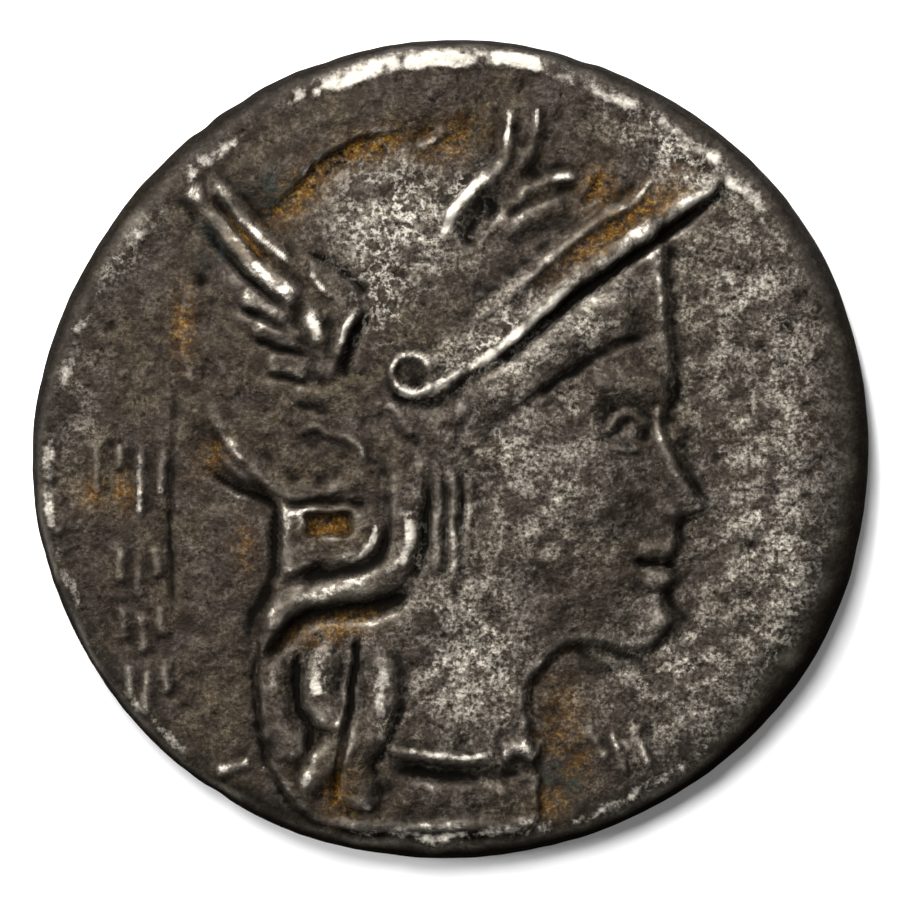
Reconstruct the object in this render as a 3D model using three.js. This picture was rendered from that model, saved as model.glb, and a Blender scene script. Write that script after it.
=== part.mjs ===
// A worn silver denarius lying on its reverse, with the helmeted head of the obverse facing up.
// Millimetres, +Z up, +Y towards the top of the head. The origin is the centre of the resting plane.
import * as THREE from 'three';

// Flan: radius and width of the rounded shoulder at every 30 degrees, counter-clockwise from +X
const FLAN_RADII = [9.62, 9.66, 9.47, 9.40, 9.33, 9.34, 9.60, 9.60, 9.56, 9.42, 9.49, 9.67];
const SHOULDER_WIDTHS = [0.55, 0.52, 0.40, 0.38, 0.32, 0.24, 0.22, 0.24, 0.40, 0.72, 0.58, 0.60];
const REVERSE_SHOULDER_WIDTH = 0.35;
const EQUATOR_Z = 0.75;
const EDGE_POINTS = 128;
const UPPER_EDGE_STEPS = 3;
const LOWER_EDGE_STEPS = 2;

// Heights of the two fields, and how far the worn relief may stand above each
const FIELD_Z = 1.4;
const REVERSE_FIELD_Z = 0.24;
const LIP_RISE = 0.07;
const LIP_WIDTH = 0.9;
const WEAR_KNEE = 0.42;
const WEAR_SPAN = 0.26;

// Head: a stepped outline with a low dome behind it
const HEAD_STEP = 0.15;
const HEAD_STEP_WIDTH = 0.38;
const HEAD_DOME = 0.22;
const HEAD_DOME_WIDTH = 3.4;

// Carving: how far a mark reaches from its line, and how high it stands or how deep it is cut
const REACH = {
  plume: 1.25, lock: 0.7, strand: 0.6, broad: 0.5, rim: 0.42, middle: 0.34, fine: 0.27, thin: 0.2,
};
const RISE = { bold: 0.2, strong: 0.15, middle: 0.12, low: 0.09, faint: 0.06 };
const SLOPE = { crisp: 0.25, middle: 0.3, soft: 0.8 };

// Face: three equal thirds from the hairline to the chin
const FACE_FRONT_X = 5.0;
const FACE_TOP_Y = 3.75;
const FACE_THIRD = 2.75;

// Reverse: a round shield with a boss inside a wreath, worn flat where the coin rests
const SHIELD_RADIUS = 3.9;
const SHIELD_RISE = 0.14;
const SHIELD_SLOPE = 0.7;
const BOSS_RADIUS = 1.7;
const WREATH_RADIUS = 6.3;
const WREATH_LEAVES = 15;
const LEAF_HALF_LENGTH = 1.5;
const LEAF_HALF_WIDTH = 0.85;
const LEAF_TURN = 1.1;
const REVERSE_RISE = 0.4;

// Mesh: cells across the height grid, longest rim edge in cells, and how far a facet may miss the relief
const CELLS = 128;
const RIM_CELLS = 4;
const OBVERSE_TOLERANCE = 0.0145;
const REVERSE_TOLERANCE = 0.038;
const SOFTEN_PASSES = 2;
const CURVE_STEPS = 6;

const FULL_TURN = Math.PI * 2;

const clamp01 = (t) => Math.min(Math.max(t, 0), 1);
const smooth = (t) => clamp01(t) ** 2 * (3 - 2 * clamp01(t));
const round = (t) => Math.sqrt(1 - (1 - clamp01(t)) ** 2);

// A value given at equal steps around the coin, joined by a smooth closed curve
function aroundCoin(values) {
  const count = values.length;
  const at = (index) => values[(index + count) % count];
  return (angle) => {
    const place = (((angle / FULL_TURN) % 1) + 1) % 1 * count;
    const index = Math.floor(place);
    const t = place - index;
    const slopeStart = (at(index + 1) - at(index - 1)) / 2;
    const slopeEnd = (at(index + 2) - at(index)) / 2;
    const rise = at(index + 1) - at(index);
    return at(index) + t * slopeStart + t ** 2 * (3 * rise - 2 * slopeStart - slopeEnd)
      + t ** 3 * (slopeStart + slopeEnd - 2 * rise);
  };
}

const flanRadius = aroundCoin(FLAN_RADII);
const shoulderWidth = aroundCoin(SHOULDER_WIDTHS);
const obverseRadius = (angle) => flanRadius(angle) - shoulderWidth(angle);
const reverseRadius = (angle) => flanRadius(angle) - REVERSE_SHOULDER_WIDTH;

// Distance from a point to a polyline
function distanceTo(line, x, y) {
  let best = Infinity;
  for (let i = 1; i < line.length; i++) {
    const a = line[i - 1];
    const b = line[i];
    const dx = b.x - a.x;
    const dy = b.y - a.y;
    const t = clamp01(((x - a.x) * dx + (y - a.y) * dy) / (dx * dx + dy * dy));
    best = Math.min(best, (x - a.x - t * dx) ** 2 + (y - a.y - t * dy) ** 2);
  }
  return Math.sqrt(best);
}

function openCurve(points) {
  const curve = new THREE.SplineCurve(points.map(([x, y]) => new THREE.Vector2(x, y)));
  return curve.getPoints(CURVE_STEPS * (points.length - 1));
}

function closedCurve(points) {
  const corners = points.map(([x, y]) => new THREE.Vector3(x, y, 0));
  const curve = new THREE.CatmullRomCurve3(corners, true, 'catmullrom', 0.5);
  return curve.getPoints(CURVE_STEPS * points.length);
}

// True where a level ray from the point crosses the closed outline an odd number of times
function isInside(outline, x, y) {
  let inside = false;
  for (let i = 1; i < outline.length; i++) {
    const a = outline[i - 1];
    const b = outline[i];
    const crosses = (a.y > y) !== (b.y > y);
    if (crosses && x < a.x + ((y - a.y) / (b.y - a.y)) * (b.x - a.x)) inside = !inside;
  }
  return inside;
}

// Wraps a feature so that it is only worked out inside its own box
function withinBox(line, margin, height) {
  const box = new THREE.Box2();
  line.forEach((point) => box.expandByPoint(new THREE.Vector2(point.x, point.y)));
  box.expandByScalar(margin);
  return (x, y) => {
    const outside = x < box.min.x || x > box.max.x || y < box.min.y || y > box.max.y;
    return outside ? 0 : height(x, y);
  };
}

// Depth inside a closed outline, turned into a height by the profile
function mound(points, profile) {
  const outline = closedCurve(points);
  return withinBox(outline, 0, (x, y) => (isInside(outline, x, y) ? profile(distanceTo(outline, x, y)) : 0));
}

// A flat-topped patch with a rounded slope of the given width
const plate = (points, rise, slope) => mound(points, (depth) => rise * smooth(depth / slope));

// A rounded ridge that fades out at its reach from a curve
function ridge(points, reach, rise) {
  const line = openCurve(points);
  return withinBox(line, reach, (x, y) => rise * smooth(1 - distanceTo(line, x, y) / reach));
}

const groove = (points, reach, depth) => ridge(points, reach, -depth);

function bump([x0, y0], radius, rise) {
  return (x, y) => rise * smooth(1 - Math.hypot(x - x0, y - y0) / radius);
}

function ring([x0, y0], radius, reach, rise) {
  return (x, y) => rise * smooth(1 - Math.abs(Math.hypot(x - x0, y - y0) - radius) / reach);
}

// A pointed oval leaf of the wreath, turned from +X
function leaf(x0, y0, turn) {
  return (x, y) => {
    const along = (x - x0) * Math.cos(turn) + (y - y0) * Math.sin(turn);
    const across = (y - y0) * Math.cos(turn) - (x - x0) * Math.sin(turn);
    return REVERSE_RISE * smooth(1 - Math.hypot(along / LEAF_HALF_LENGTH, across / LEAF_HALF_WIDTH));
  };
}

// A place on the face: forward of the face front, and down from the hairline in thirds
const facePoint = ([forward, thirds]) => [FACE_FRONT_X + forward, FACE_TOP_Y - thirds * FACE_THIRD];
const onFace = (...places) => places.map(facePoint);

// The whole head, from the brow down the face, round the cut of the bust and up the nape
function headRelief() {
  const profile = onFace(
    [-0.1, -0.45], [0.1, 0.35], [0.2, 0.9], [0.02, 1.15], [0.45, 1.52], [0.95, 1.86], [0.35, 2.0],
    [0.36, 2.2], [0.1, 2.33], [0.26, 2.46], [-0.02, 2.62], [0.12, 2.84], [-0.5, 3.08],
  );
  const neck = [[2.9, -4.55], [1.95, -5.4], [1.95, -6.6], [2.2, -7.6], [1.9, -8.75]];
  const bustCut = [[-0.8, -8.9], [-2.9, -8.75]];
  const nape = [[-4.1, -7.6], [-4.45, -6.0], [-4.4, -4.2], [-4.1, -2.6], [-4.1, -1.3]];
  const bowl = [[-5.2, -0.55], [-5.9, 0.9], [-6.15, 2.4], [-5.75, 4.0], [-4.5, 5.4], [-2.9, 6.7],
    [-0.8, 7.3], [1.4, 7.2], [3.1, 6.4], [4.3, 5.9]];
  const step = (depth) => HEAD_STEP * smooth(depth / HEAD_STEP_WIDTH);
  const dome = (depth) => HEAD_DOME * smooth(depth / HEAD_DOME_WIDTH);
  return [mound([...profile, ...neck, ...bustCut, ...nape, ...bowl], (depth) => step(depth) + dome(depth))];
}

function faceRelief() {
  const cheekAndJaw = [[0.3, 1.3], [0.35, -1.2], [1.2, -3.2], [2.9, -4.35],
    ...onFace([-0.6, 2.95], [-0.3, 2.4], [-0.1, 1.6], [-0.2, 0.9], [-0.4, 0.1]), [2.4, 3.0]];
  const brow = onFace([-1.9, 0.86], [-0.9, 0.83], [-0.05, 0.93]);
  const socket = onFace([-1.8, 1.2], [-0.8, 1.16], [-0.25, 1.2]);
  const upperLid = onFace([-1.5, 1.22], [-0.95, 1.08], [-0.35, 1.18]);
  const lowerLid = onFace([-1.45, 1.26], [-0.9, 1.34], [-0.4, 1.25]);
  const noseBridge = onFace([-0.1, 1.1], [0.15, 1.5], [0.5, 1.85]);
  const upperLip = onFace([-0.7, 2.24], [-0.25, 2.2], [0.2, 2.22]);
  const lowerLip = onFace([-0.6, 2.42], [-0.2, 2.45], [0.15, 2.44]);
  const mouthLine = onFace([-0.8, 2.33], [0.15, 2.33]);
  return [
    plate(cheekAndJaw, RISE.low, SLOPE.soft),
    bump([3.0, -1.0], 2.0, RISE.low),
    ridge(brow, REACH.broad, RISE.low),
    groove(socket, REACH.lock, RISE.low),
    bump(facePoint([-0.82, 1.2]), 0.42, RISE.low),
    ridge(upperLid, REACH.thin, RISE.faint),
    ridge(lowerLid, REACH.thin, RISE.faint),
    ridge(noseBridge, REACH.broad, RISE.faint),
    bump(facePoint([0.05, 1.88]), 0.36, RISE.low),
    ridge(upperLip, REACH.middle, RISE.faint),
    ridge(lowerLip, REACH.middle, RISE.faint),
    groove(mouthLine, REACH.thin, RISE.faint),
    bump(facePoint([-0.3, 2.8]), 0.62, RISE.low),
  ];
}

// The visor: a plate that juts past the brow, with a heavy lower rim, a fold above it and an undercut below
function visorRelief() {
  const rim = [[-0.35, 1.45], [1.14, 2.4], [3.3, 4.0], [5.2, 5.4], [6.1, 6.2]];
  const fold = [[-0.6, 2.0], [1.6, 3.85], [3.4, 5.2], [4.55, 6.2]];
  const jut = [[-0.5, 1.5], [1.2, 2.4], [3.4, 3.95], [5.3, 5.3], [6.25, 6.2], [5.7, 6.6], [4.4, 6.3],
    [3.2, 5.3], [1.4, 3.9], [-0.7, 2.2]];
  const undercut = [[0.9, 1.75], [3.2, 3.5], [4.9, 4.75]];
  return [
    plate(jut, RISE.middle, SLOPE.middle),
    ridge(rim, REACH.rim, RISE.bold),
    ridge(fold, REACH.middle, RISE.middle),
    groove(undercut, REACH.broad, RISE.middle),
  ];
}

// The crest: a plume over the bowl, a curling stem and a beaked lobe in front of it
function crestRelief() {
  const plume = [[-4.75, 5.75], [-4.1, 6.3], [-3.1, 7.2], [-1.7, 7.85], [-0.2, 8.15], [0.9, 8.2]];
  const plumeGap = [[-4.1, 5.2], [-3.3, 5.95], [-2.4, 6.75], [-1.0, 7.15]];
  const stemBody = [[1.6, 8.2], [1.62, 7.1], [1.3, 6.45], [0.6, 5.8]];
  const stemBack = [[1.27, 8.1], [1.28, 7.05], [0.9, 6.38], [0.3, 5.7], [0.08, 5.2], [-0.3, 4.5]];
  const stemFront = [[1.95, 8.1], [2.0, 7.35], [1.75, 6.75], [1.2, 6.0], [0.8, 5.65]];
  const stemGap = [[0.15, 4.7], [0.75, 5.4], [1.5, 6.2]];
  const lobe = [[0.95, 5.35], [1.5, 6.05], [2.4, 6.3], [3.15, 6.2], [3.1, 5.8], [2.4, 5.2], [1.65, 4.75]];
  const beak = [[1.4, 5.95], [2.4, 6.2], [3.05, 6.2]];
  const pellet = [[-0.85, 6.75], [-0.4, 7.1], [-0.05, 7.4]];
  const pelletBase = [[-1.05, 6.6], [-0.4, 6.25], [0.3, 6.4]];
  return [
    ridge(plume, REACH.plume, RISE.bold),
    groove(plumeGap, REACH.broad, RISE.middle),
    ridge(stemBody, REACH.lock, RISE.middle),
    ridge(stemBack, REACH.fine, RISE.strong),
    ridge(stemFront, REACH.fine, RISE.middle),
    groove(stemGap, REACH.broad, RISE.middle),
    plate(lobe, RISE.middle, SLOPE.crisp),
    ridge(beak, REACH.fine, RISE.low),
    ridge(pellet, REACH.middle, RISE.middle),
    ridge(pelletBase, REACH.thin, RISE.faint),
  ];
}

// The wing on the bowl: two long feathers, three short ones and the arm that they spring from
function wingRelief() {
  const longFeather = [[-5.85, 5.85], [-4.9, 4.75], [-3.6, 3.5]];
  const innerFeather = [[-5.45, 6.05], [-4.7, 5.3], [-3.55, 4.1]];
  const featherGap = [[-5.3, 5.6], [-4.2, 4.35]];
  const shortTips = [[-4.7, 3.25], [-4.45, 2.5], [-4.15, 1.85]];
  const shortRun = [1.0, -0.25];
  const shortGap = 0.36;
  const shortFeathers = shortTips.map(([x, y]) => [[x, y], [x + shortRun[0], y + shortRun[1]]]);
  const below = (line) => line.map(([x, y]) => [x, y - shortGap]);
  const arm = [[-3.3, 4.55], [-2.8, 4.45], [-2.3, 4.05], [-1.98, 3.5], [-2.05, 2.8], [-2.45, 1.75],
    [-3.05, 1.7], [-3.4, 2.5], [-3.5, 3.5]];
  const armTop = [[-3.15, 4.0], [-2.75, 3.6], [-2.35, 3.1]];
  const armMiddle = [[-3.15, 3.0], [-2.85, 2.55]];
  const armFront = [[-2.2, 3.05], [-2.6, 2.2]];
  const armShadow = [[-1.9, 3.1], [-2.15, 2.4], [-2.35, 1.7]];
  return [
    ridge(longFeather, REACH.rim, RISE.bold),
    ridge(innerFeather, REACH.middle, RISE.strong),
    groove(featherGap, REACH.thin, RISE.low),
    ...shortFeathers.map((line) => ridge(line, REACH.rim, RISE.strong)),
    ...shortFeathers.map((line) => groove(below(line), REACH.thin, RISE.low)),
    plate(arm, RISE.strong, SLOPE.middle),
    ridge(armTop, REACH.fine, RISE.low),
    ridge(armMiddle, REACH.middle, RISE.low),
    ridge(armFront, REACH.fine, RISE.low),
    groove(armShadow, REACH.fine, RISE.low),
  ];
}

// The bowl's lower fittings: ear boss, ear flap, neck guard and its curled end
function guardRelief() {
  const earBoss = [-0.89, 1.77];
  const flap = [[-1.35, 1.15], [-1.2, 0.5], [-0.85, 0.1], [-0.3, 0.2], [0.0, 0.9], [-0.5, 1.25]];
  const flapEdge = [[-1.35, 1.0], [-1.1, 0.6], [-0.85, 0.3]];
  const bossShadow = [[-1.1, 1.05], [-0.6, 0.95], [-0.1, 1.2]];
  const guard = [[-5.15, 0.45], [-4.9, -0.05], [-4.35, -0.45], [-3.7, -0.95], [-2.6, -1.0], [-1.7, -0.85]];
  const curl = [[-3.5, 0.35], [-3.1, 0.5], [-2.7, 0.25], [-2.2, 0.2], [-1.95, -0.1], [-1.9, -0.45]];
  const bowlLine = [[-3.5, 1.15], [-3.1, 1.0], [-2.6, 0.95]];
  return [
    ring(earBoss, 0.44, REACH.fine, RISE.bold),
    plate(flap, RISE.low, SLOPE.middle),
    ridge(flapEdge, REACH.fine, RISE.low),
    groove(bossShadow, REACH.fine, RISE.low),
    ridge(guard, REACH.middle, RISE.low),
    ridge(curl, REACH.fine, RISE.low),
    bump([-2.75, -0.2], 0.8, -RISE.low),
    ridge(bowlLine, REACH.fine, RISE.faint),
  ];
}

// Hair: a roll under the visor, a squared knot, a lock that sweeps under it and three hanging strands
function hairRelief() {
  const browRoll = [[0.35, 0.1], [0.75, 1.1], [1.6, 2.0], [2.9, 2.95], [4.3, 3.8]];
  const knot = [[-3.95, -1.35], [-2.8, -1.3], [-1.75, -1.35], [-1.65, -2.2], [-1.95, -2.6], [-2.9, -2.75],
    [-3.95, -2.95]];
  const knotEye = [[-3.35, -1.4], [-2.2, -1.4], [-2.2, -2.05], [-3.3, -2.05]];
  const sweep = [[-0.9, -1.3], [-0.9, -2.1], [-1.15, -2.65], [-1.65, -3.05], [-2.5, -3.25], [-3.3, -3.4],
    [-3.9, -3.65], [-4.2, -4.2], [-4.4, -4.95]];
  const sweepGap = [[-0.8, -3.3], [-1.7, -3.7], [-2.7, -3.85], [-3.4, -4.1], [-3.8, -4.5]];
  const backStrand = [[-4.05, -4.7], [-4.0, -5.6], [-3.75, -6.6], [-3.6, -7.2]];
  const middleStrand = [[-2.1, -4.5], [-2.8, -4.7], [-3.0, -5.3], [-2.85, -6.0], [-2.6, -6.6], [-2.8, -7.2],
    [-2.95, -8.1]];
  const frontStrand = [[-1.6, -4.5], [-1.5, -5.4], [-1.6, -6.1], [-1.95, -6.9], [-1.95, -7.5], [-1.75, -8.3]];
  const backGap = [[-3.45, -4.6], [-3.6, -5.4], [-3.4, -6.1], [-3.3, -6.9]];
  const frontGap = [[-2.15, -4.9], [-2.25, -5.6], [-2.25, -6.3], [-2.45, -7.0], [-2.4, -8.2]];
  return [
    ridge(browRoll, REACH.lock, RISE.middle),
    plate(knot, RISE.strong, SLOPE.middle),
    plate(knotEye, -RISE.bold, SLOPE.crisp),
    ridge(sweep, REACH.lock, RISE.bold),
    groove(sweepGap, REACH.rim, RISE.strong),
    ridge(backStrand, REACH.lock, RISE.low),
    ridge(middleStrand, REACH.strand, RISE.strong),
    ridge(frontStrand, REACH.lock, RISE.bold),
    groove(backGap, REACH.fine, RISE.low),
    groove(frontGap, REACH.middle, RISE.strong),
  ];
}

// Necklace with its end pellet, and the hollow between it and the cut of the bust
function necklaceRelief() {
  const necklace = [[-1.6, -6.85], [-1.1, -7.0], [0.2, -7.05], [1.1, -7.0]];
  const hollow = [[-1.5, -7.4], [0.2, -7.5], [1.6, -7.5]];
  return [
    ridge(necklace, REACH.middle, RISE.low),
    bump([1.6, -6.95], 0.5, RISE.strong),
    groove(hollow, REACH.broad, RISE.faint),
  ];
}

// Rows of plain shallow strokes behind the head and under the chin, each with its top and its length
function strokeRelief() {
  const backRow = [[-7.1, 0.3, 1.9], [-6.6, 0.1, 1.1], [-7.35, -2.5, 0.6], [-6.85, -2.6, 1.3],
    [-7.0, -4.4, 1.2]];
  const chinRow = [[3.25, -6.4, 0.8], [3.75, -6.3, 1.1], [4.25, -6.25, 0.9]];
  const backLine = [[-6.3, 1.4], [-6.38, -1.5], [-6.3, -4.2]];
  const lean = 0.05;
  const stroke = ([x, y, length]) => ridge([[x, y], [x - lean, y - length]], REACH.middle, RISE.low);
  return [
    ...backRow.map(stroke),
    ...chinRow.map(stroke),
    groove(backLine, REACH.thin, RISE.faint),
  ];
}

const OBVERSE_FEATURES = [
  ...headRelief(), ...faceRelief(), ...visorRelief(), ...crestRelief(), ...wingRelief(),
  ...guardRelief(), ...hairRelief(), ...necklaceRelief(), ...strokeRelief(),
];

// Wear rounds off whatever stands above the knee
function wornHeight(height) {
  const above = Math.max(height - WEAR_KNEE, 0);
  return Math.min(height, WEAR_KNEE) + WEAR_SPAN * (1 - Math.exp(-above / WEAR_SPAN));
}

function obverseHeight(x, y) {
  const relief = OBVERSE_FEATURES.reduce((sum, feature) => sum + feature(x, y), 0);
  const fromRim = obverseRadius(Math.atan2(y, x)) - Math.hypot(x, y);
  return FIELD_Z + wornHeight(relief) + LIP_RISE * smooth(1 - fromRim / LIP_WIDTH);
}

function reverseFeatures() {
  const disc = (radius, rise) => (x, y) => rise * round((radius - Math.hypot(x, y)) / SHIELD_SLOPE);
  const features = [disc(SHIELD_RADIUS, SHIELD_RISE), disc(BOSS_RADIUS, REVERSE_RISE)];
  for (let i = 0; i < WREATH_LEAVES; i++) {
    const angle = (i / WREATH_LEAVES) * FULL_TURN;
    features.push(leaf(WREATH_RADIUS * Math.cos(angle), WREATH_RADIUS * Math.sin(angle), angle + LEAF_TURN));
  }
  return features;
}

const REVERSE_FEATURES = reverseFeatures();

function reverseHeight(x, y) {
  const relief = REVERSE_FEATURES.reduce((highest, feature) => Math.max(highest, feature(x, y)), 0);
  return REVERSE_FIELD_Z - relief;
}

// Square grid point to disc point: rings of squares become rings of the coin
function discPoint(i, j, radiusAt) {
  const u = (2 * i) / CELLS - 1;
  const v = (2 * j) / CELLS - 1;
  const reach = Math.max(Math.abs(u), Math.abs(v));
  if (reach === 0) return [0, 0];
  const sideways = Math.abs(u) >= Math.abs(v);
  const quarter = sideways ? (u > 0 ? 0 : Math.PI) : (v > 0 ? Math.PI / 2 : -Math.PI / 2);
  const angle = quarter + (Math.PI / 4) * (sideways ? v / u : -u / v);
  const radius = reach * radiusAt(angle);
  return [radius * Math.cos(angle), radius * Math.sin(angle)];
}

// Wears a height grid smooth: each inner point takes the weighted mean of the nine points around it
function softenHeights(heights, columns) {
  const weights = [1, 2, 1];
  const total = 16;
  const softened = heights.slice();
  for (let j = 1; j < columns - 1; j++) {
    for (let i = 1; i < columns - 1; i++) {
      let sum = 0;
      for (let dj = -1; dj <= 1; dj++) {
        for (let di = -1; di <= 1; di++) {
          sum += weights[di + 1] * weights[dj + 1] * heights[(j + dj) * columns + i + di];
        }
      }
      softened[j * columns + i] = sum / total;
    }
  }
  return softened;
}

// Triangles of a face: right triangles of the grid are halved only where the relief bends,
// and whatever would pass the resting plane is worn flat on it
function faceMesh(heightAt, radiusAt, tolerance) {
  const columns = CELLS + 1;
  const levels = 2 * Math.log2(CELLS);
  const index = (i, j) => j * columns + i;
  const places = [];
  for (let j = 0; j < columns; j++) {
    for (let i = 0; i < columns; i++) places.push(discPoint(i, j, radiusAt));
  }
  let heights = places.map(([x, y]) => heightAt(x, y));
  for (let pass = 0; pass < SOFTEN_PASSES; pass++) heights = softenHeights(heights, columns);
  const points = places.map(([x, y], k) => [x, y, Math.max(heights[k], 0)]);
  const onRim = (i, j) => i === 0 || j === 0 || i === CELLS || j === CELLS;
  const errors = new Float32Array(columns * columns);
  const middle = (a, b) => [(a[0] + b[0]) / 2, (a[1] + b[1]) / 2];
  const errorAt = (a, b) => errors[index(...middle(a, b))];

  // Visits every triangle of one level: a and b end the long side, and c is the right corner
  function visit(level, a, b, c, act) {
    if (level === 0) {
      act(a, b, c);
      return;
    }
    const m = middle(a, b);
    visit(level - 1, c, a, m, act);
    visit(level - 1, b, c, m, act);
  }
  const corner = { sw: [0, 0], se: [CELLS, 0], ne: [CELLS, CELLS], nw: [0, CELLS] };
  const roots = [[corner.ne, corner.sw, corner.se], [corner.sw, corner.ne, corner.nw]];

  for (let level = levels - 1; level >= 0; level--) {
    const measure = (a, b, c) => {
      const m = middle(a, b);
      const here = index(...m);
      const sag = Math.abs(points[here][2] - (points[index(...a)][2] + points[index(...b)][2]) / 2);
      const span = Math.abs(a[0] - b[0]) + Math.abs(a[1] - b[1]);
      const forced = onRim(...m) && span > RIM_CELLS ? Infinity : 0;
      const below = level < levels - 1 ? Math.max(errorAt(c, a), errorAt(b, c)) : 0;
      errors[here] = Math.max(errors[here], sag, forced, below);
    };
    roots.forEach((root) => visit(level, ...root, measure));
  }

  const triangles = [];
  function emit(level, a, b, c) {
    if (level < levels && errorAt(a, b) > tolerance) {
      const m = middle(a, b);
      emit(level + 1, c, a, m);
      emit(level + 1, b, c, m);
      return;
    }
    triangles.push([points[index(...a)], points[index(...b)], points[index(...c)]]);
  }
  roots.forEach((root) => emit(0, ...root));

  const rim = new Set();
  for (let i = 0; i <= CELLS; i++) {
    [index(i, 0), index(i, CELLS), index(0, i), index(CELLS, i)].forEach((k) => rim.add(points[k]));
  }
  const used = new Set(triangles.flat());
  const loop = [...rim].filter((point) => used.has(point));
  return { triangles, loop };
}

const turnOf = (point) => (Math.atan2(point[1], point[0]) + FULL_TURN) % FULL_TURN;
const byTurn = (loop) => [...loop].sort((a, b) => turnOf(a) - turnOf(b));

// Triangles between two closed loops of points, the first nearer the obverse
function zip(upperLoop, lowerLoop) {
  const upper = byTurn(upperLoop);
  const lower = byTurn(lowerLoop);
  const pick = (loop, k) => loop[k % loop.length];
  const turn = (loop, k) => turnOf(pick(loop, k)) + Math.floor(k / loop.length) * FULL_TURN;
  const triangles = [];
  let i = 0;
  let j = 0;
  while (i < upper.length || j < lower.length) {
    const advanceLower = j < lower.length && (i >= upper.length || turn(lower, j + 1) <= turn(upper, i + 1));
    if (advanceLower) {
      triangles.push([pick(upper, i), pick(lower, j), pick(lower, j + 1)]);
      j += 1;
    } else {
      triangles.push([pick(upper, i), pick(lower, j), pick(upper, i + 1)]);
      i += 1;
    }
  }
  return triangles;
}

// One ring of the edge: a quarter ellipse from the shoulder at share 0 to the equator at share 1
function edgeRing(share, widthAt, faceZ) {
  const bend = share * (Math.PI / 2);
  return Array.from({ length: EDGE_POINTS }, (_, k) => {
    const angle = (k / EDGE_POINTS) * FULL_TURN;
    const radius = flanRadius(angle) - widthAt(angle) * (1 - Math.sin(bend));
    const z = EQUATOR_Z + (faceZ - EQUATOR_Z) * Math.cos(bend);
    return [radius * Math.cos(angle), radius * Math.sin(angle), z];
  });
}

function edgeLoops() {
  const upper = [];
  for (let k = 1; k <= UPPER_EDGE_STEPS; k++) {
    upper.push(edgeRing(k / UPPER_EDGE_STEPS, shoulderWidth, FIELD_Z + LIP_RISE));
  }
  const lower = [];
  for (let k = LOWER_EDGE_STEPS - 1; k > 0; k--) {
    lower.push(edgeRing(k / LOWER_EDGE_STEPS, () => REVERSE_SHOULDER_WIDTH, REVERSE_FIELD_Z));
  }
  return [...upper, ...lower];
}

function coinGeometry() {
  const obverse = faceMesh(obverseHeight, obverseRadius, OBVERSE_TOLERANCE);
  const reverse = faceMesh(reverseHeight, reverseRadius, REVERSE_TOLERANCE);
  const loops = [obverse.loop, ...edgeLoops(), reverse.loop];
  const edge = loops.slice(1).flatMap((loop, k) => zip(loops[k], loop));
  const underside = reverse.triangles.map(([a, b, c]) => [a, c, b]);
  const corners = [...obverse.triangles, ...edge, ...underside].flat(2);
  const geometry = new THREE.BufferGeometry();
  geometry.setAttribute('position', new THREE.Float32BufferAttribute(corners, 3));
  geometry.computeBoundingBox();
  const centre = geometry.boundingBox.getCenter(new THREE.Vector3());
  geometry.translate(-centre.x, -centre.y, 0);
  geometry.computeVertexNormals();
  return geometry;
}

const tonedSilver = new THREE.MeshStandardMaterial({ color: 0x6b645c, roughness: 0.5, metalness: 0.85 });

const coin = new THREE.Mesh(coinGeometry(), tonedSilver);
coin.name = 'coin';

const denarius = new THREE.Group();
denarius.add(coin);

export default denarius;
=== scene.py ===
import bpy
import numpy as np
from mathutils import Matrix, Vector


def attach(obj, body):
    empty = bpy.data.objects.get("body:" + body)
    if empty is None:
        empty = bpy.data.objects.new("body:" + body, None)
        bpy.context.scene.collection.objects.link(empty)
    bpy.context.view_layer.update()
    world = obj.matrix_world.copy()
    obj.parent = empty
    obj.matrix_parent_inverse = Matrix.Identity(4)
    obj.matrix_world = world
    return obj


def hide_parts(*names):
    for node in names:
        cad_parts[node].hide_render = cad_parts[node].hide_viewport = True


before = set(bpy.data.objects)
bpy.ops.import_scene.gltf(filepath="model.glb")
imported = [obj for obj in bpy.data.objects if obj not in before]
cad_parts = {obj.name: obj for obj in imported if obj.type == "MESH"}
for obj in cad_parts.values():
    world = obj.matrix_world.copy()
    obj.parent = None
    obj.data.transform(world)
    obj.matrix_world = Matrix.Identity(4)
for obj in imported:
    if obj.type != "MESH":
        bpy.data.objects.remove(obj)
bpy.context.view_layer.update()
mm = 0.001
fullTurn = 2 * np.pi
print("frame loaded")


# Shared surface helpers, all in millimetres

def smooth(t):
    t = np.clip(t, 0, 1)
    return t * t * (3 - 2 * t)


def aroundCoin(values, angle):  # closed cubic through values at equal steps around the coin
    values = np.array(values)
    count = len(values)
    place = (angle / fullTurn) % 1 * count
    index = np.floor(place).astype(int)
    t = place - index
    before, start, end, after = (values[(index + k) % count] for k in (-1, 0, 1, 2))
    slopeStart, slopeEnd, rise = (end - before) / 2, (after - start) / 2, end - start
    return (start + t * slopeStart + t**2 * (3 * rise - 2 * slopeStart - slopeEnd)
            + t**3 * (slopeStart + slopeEnd - 2 * rise))


def curve(points, closed=False, steps=8):  # Catmull-Rom curve through the points
    p = np.array(points, float)
    if closed:
        p = np.vstack([p[-1:], p, p[:2]])
    else:
        p = np.vstack([2 * p[:1] - p[1:2], p, 2 * p[-1:] - p[-2:-1]])
    t = (np.arange(steps) / steps)[:, None]
    parts = []
    for a, b, c, d in zip(p[:-3], p[1:-2], p[2:-1], p[3:]):
        bend = a - 2.5 * b + 2 * c - d / 2
        twist = 1.5 * (b - c) + (d - a) / 2
        parts.append(b + t * (c - a) / 2 + t**2 * bend + t**3 * twist)
    return np.vstack(parts + [p[-2:-1]])


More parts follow.
